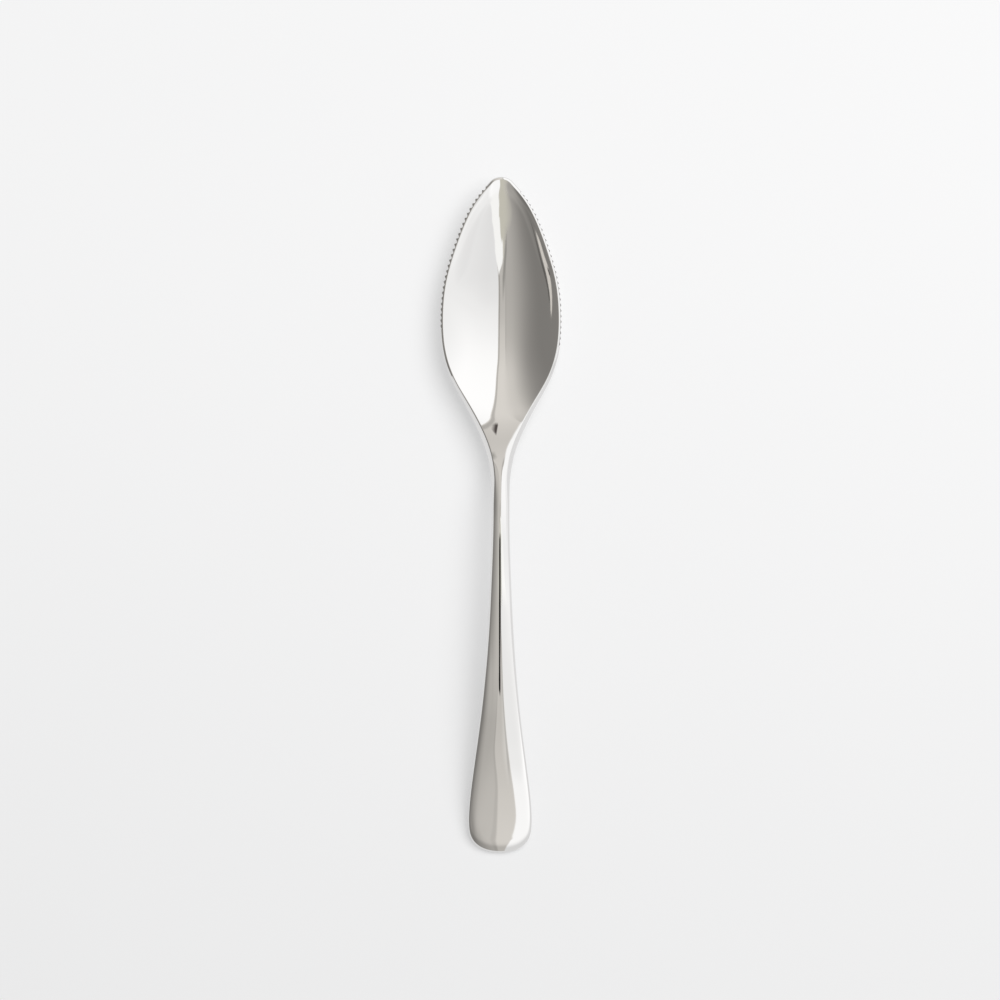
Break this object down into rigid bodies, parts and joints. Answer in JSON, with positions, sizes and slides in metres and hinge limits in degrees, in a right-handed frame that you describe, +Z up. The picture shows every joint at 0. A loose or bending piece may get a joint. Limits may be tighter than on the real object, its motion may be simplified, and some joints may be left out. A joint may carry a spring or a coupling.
{
  "type": "grapefruit spoon",
  "caption": "Table spoon for citrus fruit: pointed oval bowl with a fine-toothed rim on both sides, slim neck and a crowned handle that widens to a round end.",
  "frame": {"origin": "on the table under the middle of the spoon as it lies on its back, where it rests on the bowl and on the handle's end", "axes": "+Y along the spoon towards the tip of the bowl, +Z up out of the open bowl, +X across"},
  "size_m": [0.0304, 0.17, 0.013],
  "materials": {
    "steel": "mirror-polished stainless steel with fine polishing lines"
  },
  "bodies": {
    "root": {"spoon": "steel"}
  },
  "joints": []
}
